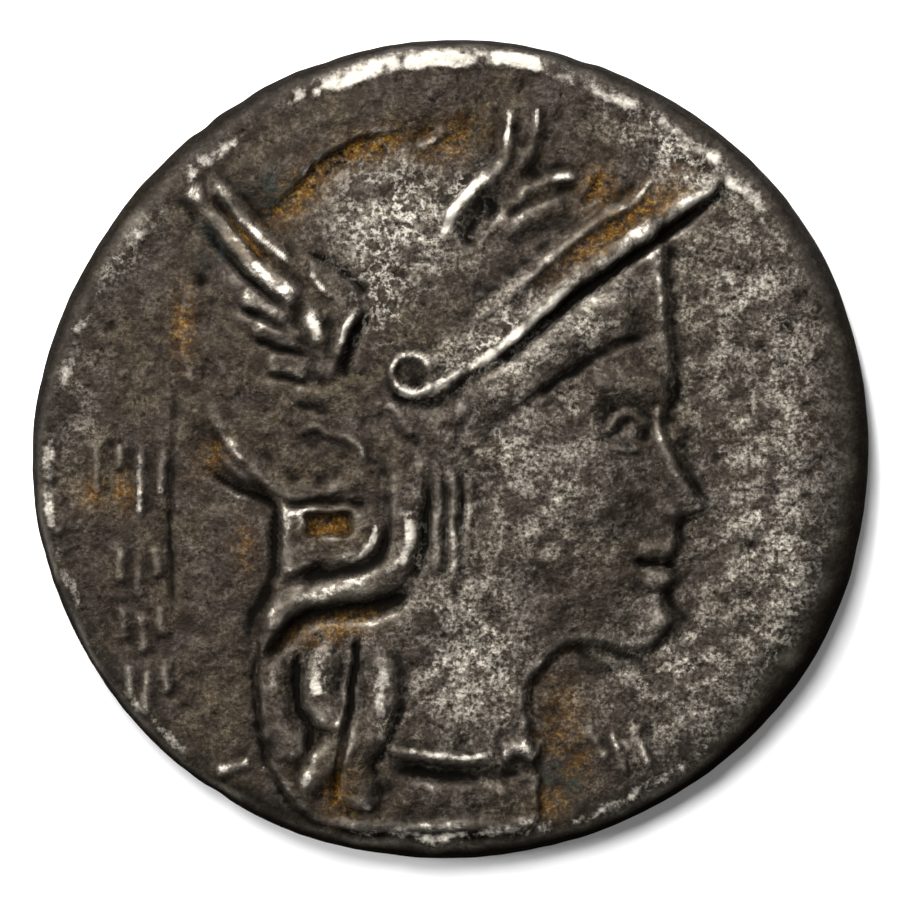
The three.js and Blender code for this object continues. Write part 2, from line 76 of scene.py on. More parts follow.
def nearest(line, x, y):  # distance to a line, share of its length there, and side: 1 left, -1 right
    best = np.full(x.shape, np.inf)
    along = np.zeros(x.shape)
    side = np.zeros(x.shape)
    count = len(line) - 1
    for k in range(count):
        dx, dy = line[k + 1] - line[k]
        px, py = x - line[k][0], y - line[k][1]
        t = np.clip((px * dx + py * dy) / (dx * dx + dy * dy + 1e-12), 0, 1)
        square = (px - t * dx) ** 2 + (py - t * dy) ** 2
        closer = square < best
        best = np.where(closer, square, best)
        along = np.where(closer, (k + t) / count, along)
        side = np.where(closer, np.sign(dx * py - dy * px), side)
    return np.sqrt(best), along, side


def inside(line, x, y):  # a level ray crosses the closed outline an odd number of times
    odd = np.zeros(x.shape, bool)
    for a, b in zip(line[:-1], line[1:]):
        if a[1] == b[1]:
            continue
        crosses = (a[1] > y) != (b[1] > y)
        odd ^= crosses & (x < a[0] + (y - a[1]) / (b[1] - a[1]) * (b[0] - a[0]))
    return odd


def boxed(line, margin, x, y):
    low, high = line.min(0) - margin, line.max(0) + margin
    return (x > low[0]) & (x < high[0]) & (y > low[1]) & (y < high[1])


# Ridge: rise * fade * (1 - (distance / reach)^2)^shape; reach may differ left and right, ends fade out
def ridge(x, y, points, reach, rise, shape=1.0, ends=0.2):
    left, right = reach if isinstance(reach, tuple) else (reach, reach)
    line = curve(points)
    height = np.zeros(x.shape)
    near = boxed(line, max(left, right), x, y)
    distance, along, side = nearest(line, x[near], y[near])
    fade = smooth(0.12 + np.minimum(along, 1 - along) / ends)
    width = np.where(side > 0, left, right) * (0.45 + 0.55 * fade)
    height[near] = rise * fade * np.clip(1 - (distance / width) ** 2, 0, 1) ** shape
    return height


# Plate: rise * smooth(depth inside the closed outline / slope)
def plate(x, y, points, rise, slope):
    line = curve(points, closed=True)
    height = np.zeros(x.shape)
    near = boxed(line, 0, x, y)
    depth = np.where(inside(line, x[near], y[near]), nearest(line, x[near], y[near])[0], 0)
    height[near] = rise * smooth(depth / np.broadcast_to(slope, x.shape)[near])
    return height


# Bump: rise * smooth(1 - distance / radius)
def bump(x, y, centre, radius, rise):
    return rise * smooth(1 - np.hypot(x - centre[0], y - centre[1]) / radius)


# Value noise: seeded numbers from -1 to 1 on a turned square lattice, joined by smooth steps
def noise(x, y, size, seed):
    lattice = np.random.default_rng(seed).uniform(-1, 1, (256, 256))
    turn = 0.7 * seed
    u = (x * np.cos(turn) + y * np.sin(turn)) / size + 100
    v = (y * np.cos(turn) - x * np.sin(turn)) / size + 100
    i, j = np.floor(u).astype(int), np.floor(v).astype(int)
    s, t = smooth(u - i), smooth(v - j)
    i, j, i2, j2 = i % 256, j % 256, (i + 1) % 256, (j + 1) % 256
    near = lattice[i, j] * (1 - s) + lattice[i2, j] * s
    far = lattice[i, j2] * (1 - s) + lattice[i2, j2] * s
    return near * (1 - t) + far * t


def blur(grid, cells):  # mean over a square of neighbours, twice over
    for axis in (0, 1, 0, 1):
        wide = np.pad(grid, [(cells, cells) if a == axis else (0, 0) for a in (0, 1)], mode="edge")
        count = grid.shape[axis]
        grid = sum(np.take(wide, np.arange(k, k + count), axis) for k in range(2 * cells + 1))
        grid = grid / (2 * cells + 1)
    return grid


def blobs(x, y, places):  # soft spots: each has a centre, two radii, a turn in degrees and a strength
    total = np.zeros(x.shape)
    for cx, cy, rx, ry, turn, strength in places:
        c, s = np.cos(np.radians(turn)), np.sin(np.radians(turn))
        along = ((x - cx) * c + (y - cy) * s) / rx
        across = ((y - cy) * c - (x - cx) * s) / ry
        total = np.maximum(total, strength * np.exp(-(along**2 + across**2)))
    return total


# The flan: its outline, edge and two fields; the lists run counter-clockwise from +X in equal steps
flan = {
    "radii": [9.62, 9.66, 9.47, 9.40, 9.33, 9.34, 9.60, 9.60, 9.56, 9.42, 9.49, 9.67],
    "shoulders": [0.72, 0.68, 0.52, 0.34, 0.60, 0.64, 0.34, 0.26, 0.34, 0.50, 0.46, 0.80],
    # The lip's rise and a painted highlight along it, strongest at the top towards the lamps
    "lipRiseAndHighlight": [0.25, 0.3, 0.52, 0.58, 0.5, 0.8, 1.0, 0.85, 0.5, 0.5, 0.48, 0.45,
                 0.5, 0.45, 0.38, 0.4, 0.2, 0.4, 0.48, 0.42, 0.5, 0.45, 0.15, 0.2],
    # Painted shade on the rim and edge, darkest at the lower right away from the lamps
    "rimPaintedShade": [0.6, 0.5, 0.3, 0.3, 0.35, 0.4, 0.4, 0.45, 0.5, 0.5, 0.5, 0.5,
                0.5, 0.6, 0.65, 0.7, 0.8, 0.9, 0.9, 0.95, 0.95, 0.95, 0.85, 0.7],
    "reverseShoulder": 0.35,
    "equatorZ": 0.75,
    "fieldZ": 1.4,
    "reverseFieldZ": 0.24,
    "lipRise": 0.07,
    "lipWidth": 0.55,
    "wearKnee": 0.46,
    "wearSpan": 0.24,
    "cells": 264,
    "upperShares": (0.22, 0.5, 0.76, 1.0),  # edge rings from the shoulder to the equator
    "lowerShare": 0.5,
    "chips": [  # place in degrees, width in degrees and depth
        (121, 2.0, 0.04), (127.5, 1.6, 0.04), (108, 1.5, 0.03), (71, 1.6, 0.03), (236, 2.0, 0.04)],
    "warp": 0.05,  # how far the cut lines wander from their drawn places
}


def flanRadius(angle):
    x, y = np.cos(angle) * 9.5, np.sin(angle) * 9.5
    rough = 0.014 * noise(x, y, 0.8, 11) + 0.008 * noise(x, y, 0.3, 12)
    for place, width, depth in flan["chips"]:
        away = (np.degrees(angle) - place + 180) % 360 - 180
        rough = rough - depth * np.exp(-((away / width) ** 2))
    return aroundCoin(flan["radii"], angle) + rough


def shoulderWidth(angle):
    x, y = np.cos(angle) * 9.5, np.sin(angle) * 9.5
    rough = 1 + 0.2 * noise(x, y, 0.9, 13) + 0.1 * noise(x, y, 0.35, 14)
    return aroundCoin(flan["shoulders"], angle) * rough


# Square grid to disc: rings of squares become rings of the coin, the angle running evenly along each side
def discGrid(cells):
    line = np.linspace(-1, 1, cells + 1)
    u, v = np.meshgrid(line, line)
    reach = np.maximum(np.abs(u), np.abs(v))
    sideways = np.abs(u) >= np.abs(v)
    safeU, safeV = np.where(u == 0, 1, u), np.where(v == 0, 1, v)
    level = np.where(u > 0, 0, np.pi) + np.pi / 4 * v / safeU
    upright = np.where(v > 0, np.pi / 2, -np.pi / 2) - np.pi / 4 * u / safeV
    return reach, np.where(sideways, level, upright)


reach, angle = discGrid(flan["cells"])
rimRadius = flanRadius(angle) - shoulderWidth(angle)
radius = reach * rimRadius
x, y = radius * np.cos(angle), radius * np.sin(angle)
wx = x + flan["warp"] * (noise(x, y, 0.9, 41) + 0.5 * noise(x, y, 0.3, 42))
wy = y + flan["warp"] * (noise(x, y, 0.9, 43) + 0.5 * noise(x, y, 0.3, 44))

# The head: a stepped outline with a low dome behind it; the face is a plain one in three equal thirds
face = {"frontX": 5.0, "topY": 3.75, "third": 2.75}


def onFace(*places):  # forward of the face front, and down from the hairline in thirds
    return [(face["frontX"] + f, face["topY"] - t * face["third"]) for f, t in places]


head = {
    "profile": onFace((-0.1, -0.45), (0.1, 0.35), (0.2, 0.9), (0.02, 1.15), (0.45, 1.52), (0.95, 1.86),
                      (0.35, 2.0), (0.36, 2.2), (0.1, 2.33), (0.26, 2.46), (-0.02, 2.62), (0.12, 2.84),
                      (-0.5, 3.08)),
    "neck": [(2.9, -4.55), (1.95, -5.4), (1.95, -6.6), (2.2, -7.6), (1.9, -8.75)],
    "bustCut": [(-0.8, -8.9), (-2.9, -8.75)],
    "nape": [(-4.1, -7.6), (-4.45, -6.0), (-4.4, -4.2), (-4.1, -2.6), (-4.1, -1.3)],
    "bowl": [(-5.2, -0.55), (-5.9, 0.9), (-6.15, 2.4), (-5.75, 4.0), (-4.5, 5.4), (-2.9, 6.7), (-0.8, 7.3),
             (1.4, 7.2), (3.1, 6.4), (4.3, 5.9)],
    "step": 0.18,
    "stepWidth": 0.26,
    "backWidth": 1.1,  # the step is worn to a long slope behind and above
    "dome": 0.22,
    "domeWidth": 3.4,
}
headLine = head["profile"] + head["neck"] + head["bustCut"] + head["nape"] + head["bowl"]
behind = smooth((-wx - 2.0) / 2.0) * smooth((wy + 0.4) / 1.2) + smooth((wy - 5.0) / 1.2)
stepWidth = head["stepWidth"] + (head["backWidth"] - head["stepWidth"]) * np.clip(behind, 0, 1)
relief = plate(wx, wy, headLine, head["step"], stepWidth)
relief += plate(wx, wy, headLine, head["dome"], head["domeWidth"])

cheekLine = ([(0.3, 1.3), (0.35, -1.2), (1.2, -3.2), (2.9, -4.35)]
             + onFace((-0.6, 2.95), (-0.3, 2.4), (-0.1, 1.6), (-0.2, 0.9), (-0.4, 0.1)) + [(2.4, 3.0)])
face["ridges"] = [
    (onFace((-1.9, 0.86), (-0.9, 0.8), (-0.05, 0.93)), 0.45, 0.12, 1.4),  # brow
    (onFace((-1.8, 1.18), (-0.8, 1.14), (-0.25, 1.18)), 0.6, -0.15, 1.4),  # socket
    (onFace((-1.55, 1.24), (-0.95, 1.07), (-0.3, 1.18)), 0.17, 0.1, 1.3),  # upper lid
    (onFace((-1.45, 1.27), (-0.9, 1.36), (-0.38, 1.27)), 0.15, 0.07, 1.3),  # lower lid
    (onFace((-0.1, 1.1), (0.15, 1.5), (0.5, 1.85)), 0.42, 0.11, 1.4),  # bridge of the nose
    (onFace((-0.7, 2.24), (-0.25, 2.2), (0.2, 2.22)), 0.28, 0.12, 1.2),  # upper lip
    (onFace((-0.6, 2.43), (-0.2, 2.46), (0.15, 2.44)), 0.28, 0.13, 1.2),  # lower lip
    (onFace((-0.85, 2.33), (0.2, 2.33)), 0.15, -0.13, 1.3),  # line of the mouth
]
face["bumps"] = [
    ((3.0, -1.0), 2.1, 0.13),  # cheek
    (onFace((-0.82, 1.21))[0], 0.4, 0.09),  # eye
    (onFace((0.05, 1.88))[0], 0.36, 0.14),  # side of the nose
    (onFace((-0.3, 2.8))[0], 0.7, 0.15),  # chin
]
relief += plate(wx, wy, cheekLine, 0.09, 1.3)

# The helmet's visor: a plate that juts past the brow, a heavy lower rim, a fold above and an undercut below
visor = {
    "jut": [(-0.5, 1.5), (1.2, 2.4), (3.4, 3.95), (5.3, 5.3), (6.25, 6.2), (5.7, 6.6), (4.4, 6.3), (3.2, 5.3),
            (1.4, 3.9), (-0.7, 2.2)],
    "ridges": [
        ([(-0.35, 1.45), (0.59, 1.88), (1.41, 2.44), (2.24, 3.2), (2.98, 3.8), (3.71, 4.3), (4.63, 5.0),
          (5.37, 5.48), (6.01, 5.95), (6.25, 6.3)], (0.4, 0.12), 0.2, 1.3, 0.06),
        ([(0.5, 1.52), (1.56, 2.3), (2.38, 3.05), (3.1, 3.63), (3.82, 4.13), (4.74, 4.82), (5.48, 5.3),
          (6.13, 5.8)], (0.08, 0.2), -0.2, 1.1),
        ([(0.03, 2.42), (1.14, 3.34), (2.24, 4.26), (3.16, 5.05), (3.9, 5.5), (4.3, 5.8), (4.73, 6.28)],
         (0.3, 0.2), 0.1, 1.2),
        ([(1.2, 3.05), (2.4, 4.0), (3.5, 4.9), (4.6, 5.7)], 0.3, -0.07, 1.5),
    ],
}
relief += plate(wx, wy, visor["jut"], 0.12, 0.45)

# The crest: a plume over the bowl, a curling stem and a beak in front of it
crest = {
    "ridges": [
        ([(-4.75, 5.75), (-4.1, 6.3), (-3.1, 7.2), (-1.7, 7.85), (-0.2, 8.15), (0.9, 8.2)], 1.2, 0.18, 2),
        ([(-4.3, 5.35), (-3.4, 6.0), (-2.9, 6.6), (-2.0, 7.05), (-1.0, 7.2)], (0.12, 0.5), -0.16, 1.2),
        ([(1.62, 8.2), (1.6, 7.1), (1.25, 6.45), (0.6, 5.8)], 0.5, 0.1, 1.5),
        ([(1.28, 8.1), (1.32, 7.38), (1.18, 6.56), (0.68, 6.1), (0.13, 5.45), (-0.2, 4.53)],
         (0.26, 0.3), 0.13, 1.3),
        ([(1.0, 6.35), (0.6, 6.0), (0.2, 5.5), (-0.05, 5.0)], (0.45, 0.35), 0.1, 1.1),
        ([(1.97, 8.0), (2.01, 7.2), (1.83, 6.74), (1.5, 6.3)], 0.22, 0.09, 1.3),
        ([(0.3, 4.6), (0.65, 5.2), (1.05, 5.7)], 0.32, -0.12, 1.2),
        ([(1.3, 5.3), (2.0, 5.72), (2.8, 5.95)], 0.12, -0.1, 1.2),
        ([(0.95, 5.0), (1.3, 5.5), (1.4, 5.75)], 0.2, 0.06, 1.2),
        ([(1.35, 5.73), (2.06, 6.0), (2.52, 6.22), (3.0, 6.17)], (0.24, 0.3), 0.13, 1.2),
        ([(1.6, 5.7), (2.4, 5.97), (3.0, 5.98)], 0.16, -0.07, 1.5),
        ([(1.1, 4.85), (1.9, 5.4), (2.7, 5.75)], 0.45, 0.12, 1.3),
        ([(3.5, 6.35), (3.3, 5.95), (3.0, 5.55)], 0.16, -0.08, 1.4),
        ([(-0.8, 6.78), (-0.4, 7.1), (-0.05, 7.4)], 0.2, 0.13, 1.3),
        ([(-1.1, 6.65), (-0.6, 6.35), (0.1, 6.35)], 0.24, 0.05, 2),
    ],
    "bumps": [((3.76, 5.96), 0.4, 0.06), ((-0.5, 6.9), 0.45, 0.08), ((1.6, 5.15), 0.3, 0.04)],
}

# The wing on the bowl: two long feathers, short ones below and the arm that they spring from
wing = {
    "arm": [(-3.3, 4.55), (-2.8, 4.45), (-2.3, 4.05), (-1.98, 3.5), (-2.05, 2.8), (-2.45, 1.75), (-3.05, 1.7),
            (-3.4, 2.5), (-3.5, 3.5)],
    "ridges": [
        ([(-5.95, 6.05), (-5.76, 5.78), (-5.08, 4.8), (-4.42, 4.13), (-3.72, 3.55), (-3.3, 3.3)],
         (0.4, 0.34), 0.2, 0.9),
        ([(-5.56, 6.3), (-5.12, 5.73), (-4.68, 5.2), (-4.29, 4.86), (-3.85, 4.48), (-3.43, 4.1)],
         (0.3, 0.26), 0.15, 1.1),
        ([(-5.45, 5.9), (-5.0, 5.2), (-4.5, 4.62), (-4.1, 4.25)], 0.13, -0.14, 1.2),
        ([(-5.75, 5.4), (-5.2, 4.5), (-4.6, 3.85), (-4.0, 3.4), (-3.55, 3.15)], 0.13, -0.13, 1.2),
        ([(-3.35, 4.55), (-2.57, 4.19), (-2.06, 3.75), (-1.86, 3.5)], 0.1, -0.12, 1.3),
        ([(-3.21, 4.07), (-2.95, 3.75), (-2.57, 3.43), (-2.31, 3.11)], (0.2, 0.14), 0.1, 1.3),
        ([(-3.25, 3.2), (-3.08, 2.79), (-2.85, 2.35)], 0.28, 0.14, 1.1),
        ([(-1.95, 3.3), (-2.31, 2.79), (-2.5, 2.41), (-2.6, 2.0)], (0.16, 0.2), 0.16, 1.1),
        ([(-1.82, 3.15), (-2.1, 2.65), (-2.32, 2.1), (-2.42, 1.6)], 0.16, -0.17, 1.2),
        ([(-2.72, 3.1), (-2.68, 2.5), (-2.75, 1.95)], 0.16, -0.09, 1.4),
        ([(-3.1, 1.95), (-2.85, 1.72), (-2.55, 1.8)], 0.2, 0.1, 1.2),
    ],
    "feathers": [  # tip, root and rise
        ((-4.85, 3.42), (-3.6, 2.95), 0.13), ((-4.6, 2.78), (-3.35, 2.4), 0.1),
        ((-4.25, 1.98), (-3.15, 1.74), 0.1), ((-3.6, 1.26), (-2.7, 1.0), 0.07)],
}
relief += plate(wx, wy, wing["arm"], 0.12, 0.4)
for (tipX, tipY), (rootX, rootY), rise in wing["feathers"]:
    middle = ((tipX + rootX) / 2, (tipY + rootY) / 2 + 0.05)
    wing["ridges"].append(([(tipX, tipY), middle, (rootX, rootY)], (0.34, 0.24), rise, 0.9))
    wing["ridges"].append(([(tipX + 0.05, tipY - 0.28), (middle[0], middle[1] - 0.3), (rootX, rootY - 0.26)],
                           0.12, -0.9 * rise, 1.2))

# The bowl's lower fittings: ear boss, ear flap, neck guard and its curled end
guard = {
    "boss": (-0.86, 1.7),
    "bossRadius": 0.44,
    "bossWidth": 0.15,
    "bossRise": 0.17,
    "dipDepth": 0.02,
    "dipRadius": 0.36,
    "flap": [(-1.35, 1.15), (-1.2, 0.5), (-0.85, 0.1), (-0.3, 0.2), (0.0, 0.9), (-0.5, 1.25)],
    "ridges": [
        ([(-0.65, 1.33), (-0.2, 1.5), (0.35, 1.85)], 0.24, 0.12, 1.3),
        ([(-1.4, 1.25), (-0.8, 1.0), (-0.1, 1.15)], 0.2, -0.12, 1.4),
        ([(-1.42, 1.08), (-1.15, 0.65), (-0.82, 0.2)], 0.17, 0.11, 1.3),
        ([(-0.5, 0.85), (-0.42, 0.35), (-0.6, -0.15)], 0.3, 0.06, 1.5),
        ([(-5.85, 1.31), (-5.42, 0.8), (-4.99, 0.02), (-4.5, -0.45), (-3.77, -1.02), (-2.99, -1.0),
          (-1.98, -0.92)], (0.36, 0.16), 0.09, 1.2),
        ([(-5.65, -0.45), (-5.0, -0.88), (-4.4, -1.1), (-3.85, -1.4)], 0.13, -0.1, 1.4),
        ([(-3.55, 0.3), (-3.1, 0.5), (-2.75, 0.3), (-2.3, 0.2), (-2.0, -0.05), (-1.88, -0.55)],
         0.16, 0.12, 1.3),
        ([(-3.9, 0.5), (-3.7, -0.2), (-3.4, -0.6)], 0.22, 0.05, 1.5),
        ([(-5.95, 3.9), (-6.1, 3.0), (-6.05, 2.1), (-5.85, 1.31)], (0.35, 0.16), 0.08, 1.2),
    ],
    "bumps": [((-2.75, -0.2), 0.8, -0.09), ((-3.55, -0.6), 0.28, -0.07), ((-3.0, -0.75), 0.25, -0.06),
              ((-3.2, 0.15), 0.3, -0.05)],
}
relief += plate(wx, wy, guard["flap"], 0.07, 0.4)
bossX, bossY = wx - guard["boss"][0], wy - guard["boss"][1]
fromBoss = np.hypot(bossX, bossY)
bossRing = np.clip(1 - ((fromBoss - guard["bossRadius"]) / guard["bossWidth"]) ** 2, 0, 1)
# Ring round the boss, heavier below, and a dip in its middle
relief += guard["bossRise"] * bossRing**1.1 * (1 - 0.3 * bossY / (fromBoss + 0.1))
relief -= guard["dipDepth"] * smooth(1 - fromBoss / guard["dipRadius"])

# Hair: a roll under the visor, a squared knot, a lock that sweeps under it and three hanging strands
hair = {
    "knot": [(-3.95, -1.35), (-2.8, -1.3), (-1.75, -1.35), (-1.65, -2.2), (-1.95, -2.6), (-2.9, -2.75),
             (-3.95, -2.95)],
    "knotEye": [(-3.4, -1.42), (-2.8, -1.4), (-2.22, -1.42), (-2.18, -1.74), (-2.24, -2.06), (-2.8, -2.08),
                (-3.34, -2.06), (-3.4, -1.74)],
    "ridges": [
        ([(0.25, 0.5), (0.6, 1.25), (1.3, 1.72), (2.1, 2.25), (2.9, 2.85), (3.7, 3.2), (4.6, 3.3)],
         (0.44, 0.8), 0.2, 1.0),
        ([(1.3, 0.65), (2.06, 1.22), (2.8, 1.72), (3.53, 2.2), (4.2, 2.5), (4.73, 2.6)], 0.16, -0.07, 1.3),
        ([(-0.2, -0.2), (-0.1, 0.5), (0.3, 1.15)], 0.34, 0.09, 1.1),
        ([(0.5, -0.1), (0.6, 0.4), (1.0, 0.9)], 0.3, 0.08, 1.1),
        ([(-1.2, -0.1), (-1.2, -0.84), (-1.12, -1.7), (-1.1, -2.35), (-1.5, -2.92), (-2.41, -3.2),
          (-3.27, -3.35), (-3.9, -3.75), (-4.25, -4.3), (-4.45, -5.05)], 0.44, 0.24, 0.9),
        ([(-0.92, -1.3), (-0.9, -2.0), (-1.05, -2.5), (-1.45, -2.82)], 0.22, 0.06, 1.4),
        ([(-1.42, -0.3), (-1.42, -1.2), (-1.42, -1.9), (-1.55, -2.45), (-1.95, -2.78), (-2.7, -2.9),
          (-4.0, -3.1)], 0.14, -0.13, 1.2),
        ([(-0.75, -3.2), (-1.3, -3.48), (-2.0, -3.68), (-2.9, -3.76), (-3.5, -4.02), (-4.0, -4.5),
          (-4.3, -5.0)], (0.3, 0.2), -0.18, 1.2),
        ([(-0.6, -0.5), (-0.55, -1.5), (-0.62, -2.4), (-0.8, -3.05)], 0.14, -0.09, 1.4),
        ([(-0.72, -0.05), (-0.64, -0.7), (-0.7, -1.4)], 0.18, 0.07, 1.1),
        ([(-0.36, -0.2), (-0.28, -0.9), (-0.36, -1.7), (-0.28, -2.4), (-0.4, -3.0)], 0.2, 0.09, 1.1),
        ([(0.0, -0.4), (0.1, -1.1), (0.02, -1.8), (0.1, -2.5), (0.04, -3.2)], 0.18, 0.1, 1.1),
        ([(0.4, -0.5), (0.46, -1.2), (0.36, -1.9), (0.42, -2.5)], 0.18, 0.07, 1.1),
        ([(-0.16, -0.5), (-0.08, -1.3), (-0.16, -2.1), (-0.1, -2.8)], 0.09, -0.07, 1.2),
        ([(0.24, -0.6), (0.3, -1.4), (0.2, -2.2)], 0.09, -0.06, 1.2),
        ([(-3.86, -4.6), (-4.04, -5.39), (-3.92, -6.19), (-3.62, -6.8), (-3.5, -7.3)],
         (0.36, 0.5), 0.17, 1.0),
        ([(-2.5, -4.4), (-2.9, -4.7), (-3.1, -5.2), (-3.14, -5.7), (-2.88, -6.19), (-2.6, -6.5),
          (-2.82, -7.0), (-3.19, -7.4), (-3.35, -8.1)], (0.6, 0.32), 0.25, 1.0, 0.12),
        ([(-1.68, -4.5), (-1.53, -5.2), (-1.53, -5.82), (-1.71, -6.43), (-2.08, -6.95), (-2.15, -7.41),
          (-1.96, -7.9), (-1.84, -8.4)], (0.42, 0.5), 0.27, 1.0, 0.12),
        ([(-3.42, -4.55), (-3.55, -5.3), (-3.42, -6.0), (-3.2, -6.5), (-3.3, -7.1)], 0.13, -0.17, 1.1),
        ([(-2.1, -4.3), (-2.12, -4.75), (-2.2, -5.4), (-2.2, -5.8), (-2.32, -6.3), (-2.4, -6.8), (-2.5, -7.4),
          (-2.6, -8.2)], (0.1, 0.16), -0.2, 1.1, 0.08),
        ([(-1.2, -4.6), (-0.98, -5.3), (-1.05, -6.0), (-1.3, -6.6), (-1.6, -7.2)], 0.1, -0.04, 1.3),
        ([(-3.05, -2.62), (-2.4, -2.55), (-1.9, -2.38), (-1.7, -2.05), (-1.66, -1.45)], 0.2, 0.07, 1.3),
        ([(-3.9, -1.28), (-2.9, -1.24), (-1.8, -1.28)], 0.1, -0.08, 1.4),
        ([(-4.02, -1.3), (-4.05, -2.2), (-4.02, -3.0)], 0.12, -0.1, 1.3),
    ],
}
relief += plate(wx, wy, hair["knot"], 0.14, 0.3)
relief += plate(wx, wy, hair["knotEye"], -0.26, 0.22)

# Necklace with its end pellet, and the hollow between it and the cut of the bust
necklace = {
    "ridges": [
        ([(-1.5, -6.8), (-1.0, -6.96), (0.2, -7.06), (1.15, -7.0)], (0.16, 0.2), 0.12, 1.3),
        ([(1.1, -6.95), (1.6, -6.85), (2.15, -7.0)], 0.32, 0.18, 1.1),
        ([(-1.5, -7.35), (0.2, -7.46), (1.9, -7.4)], 0.26, -0.11, 1.3),
        ([(-1.4, -8.0), (0.2, -8.1), (1.6, -8.0)], 0.5, 0.06, 1.5),
        ([(-3.2, -8.5), (-0.5, -8.62), (2.6, -8.45)], 0.2, 0.09, 1.3),
    ],
}

# Rows of plain shallow strokes behind the head and under the chin
strokes = {
    "plateau": [(-6.2, -1.35), (-4.2, -1.4), (-4.2, -2.95), (-6.2, -3.0)],
    "upperRow": {"left": -8.05, "top": 0.2, "step": 0.5, "lengths": (1.3, 0.7, 1.9, 1.2)},
    "lowerRows": {"left": -7.55, "top": -2.2, "step": 0.42, "drop": 1.35, "shift": 0.08, "rows": 3,
                  "lengths": (0.9, 1.2, 0.8)},
    "chinRow": {"left": 3.2, "top": -6.3, "step": 0.5, "lengths": (0.9, 1.2, 1.0)},
    "reach": 0.18,
    "rise": 0.09,
    "lean": 0.05,
    "chinLean": 0.4,
    "stagger": 0.1,  # every second stroke starts lower
    "ridges": [
        ([(-6.3, 1.6), (-6.38, -1.5), (-6.3, -4.2)], 0.12, -0.06, 1.5),
        ([(-5.4, -7.45), (-4.9, -7.32), (-4.5, -7.2)], 0.2, 0.1, 1.3),
    ],
}


def strokeRow(left, top, step, lengths, lean):
    for k, length in enumerate(lengths):
        start = (left + k * step, top - strokes["stagger"] * (k % 2))
        end = (start[0] - lean, start[1] - length)
        strokes["ridges"].append(([start, end], strokes["reach"], strokes["rise"], 1.4))


upperRow, lowerRows, chinRow = strokes["upperRow"], strokes["lowerRows"], strokes["chinRow"]
strokeRow(upperRow["left"], upperRow["top"], upperRow["step"], upperRow["lengths"], strokes["lean"])
for k in range(lowerRows["rows"]):
    rowTop = lowerRows["top"] - k * lowerRows["drop"]
    rowLeft = lowerRows["left"] + lowerRows["shift"] * k
    strokeRow(rowLeft, rowTop, lowerRows["step"], lowerRows["lengths"], -strokes["lean"])
strokeRow(chinRow["left"], chinRow["top"], chinRow["step"], chinRow["lengths"], -strokes["chinLean"])
relief += plate(wx, wy, strokes["plateau"], 0.03, 0.4)

for part in (face, visor, crest, wing, guard, hair, necklace, strokes):
    for points, width, rise, shape, *ends in part["ridges"]:
        relief += ridge(wx, wy, points, width, rise, shape, *ends)
    for centre, size, rise in part.get("bumps", []):
        relief += bump(wx, wy, centre, size, rise)
print("head, helmet, hair, necklace and strokes")

# Wear rounds whatever stands above the knee, then corrosion pits it
relief *= 1 + 0.12 * noise(x, y, 1.3, 8)
wornTop = flan["wearSpan"] * (1 - np.exp(-np.maximum(relief - flan["wearKnee"], 0) / flan["wearSpan"]))
worn = np.minimum(relief, flan["wearKnee"]) + wornTop
pits = {
    "places": [(7.8, 2.85, 0.2), (8.04, 3.43, 0.16), (7.69, 1.93, 0.16), (-4.24, -6.76, 0.24),
               (-5.14, -7.66, 0.25), (7.2, 2.3, 0.14), (6.9, -2.2, 0.16), (7.5, -1.0, 0.14)],
    "depth": 0.09,
    "lumps": [(0.028, 1.6, 1), (0.032, 0.7, 2), (0.022, 0.33, 3), (0.013, 0.17, 4)],  # rise, size and seed
    "corroded": [(0.03, 0.4, 5, 0.35, 0.5), (0.02, 0.22, 6, 0.45, 0.4)],  # depth, size, seed, start, span
}
rough = sum(rise * noise(x, y, size, seed) for rise, size, seed in pits["lumps"])
for depth, size, seed, start, span in pits["corroded"]:
    rough -= depth * smooth((noise(x, y, size, seed) - start) / span)
for px, py, size in pits["places"]:
    rough -= pits["depth"] * np.exp(-((x - px) ** 2 + (y - py) ** 2) / size**2)
fromRim = rimRadius - radius
lipShare = aroundCoin(flan["lipRiseAndHighlight"], angle)
lip = flan["lipRise"] * smooth(1 - fromRim / flan["lipWidth"]) * (1.1 * lipShare + 0.3 * noise(x, y, 0.8, 7))
z = flan["fieldZ"] + worn + lip + rough

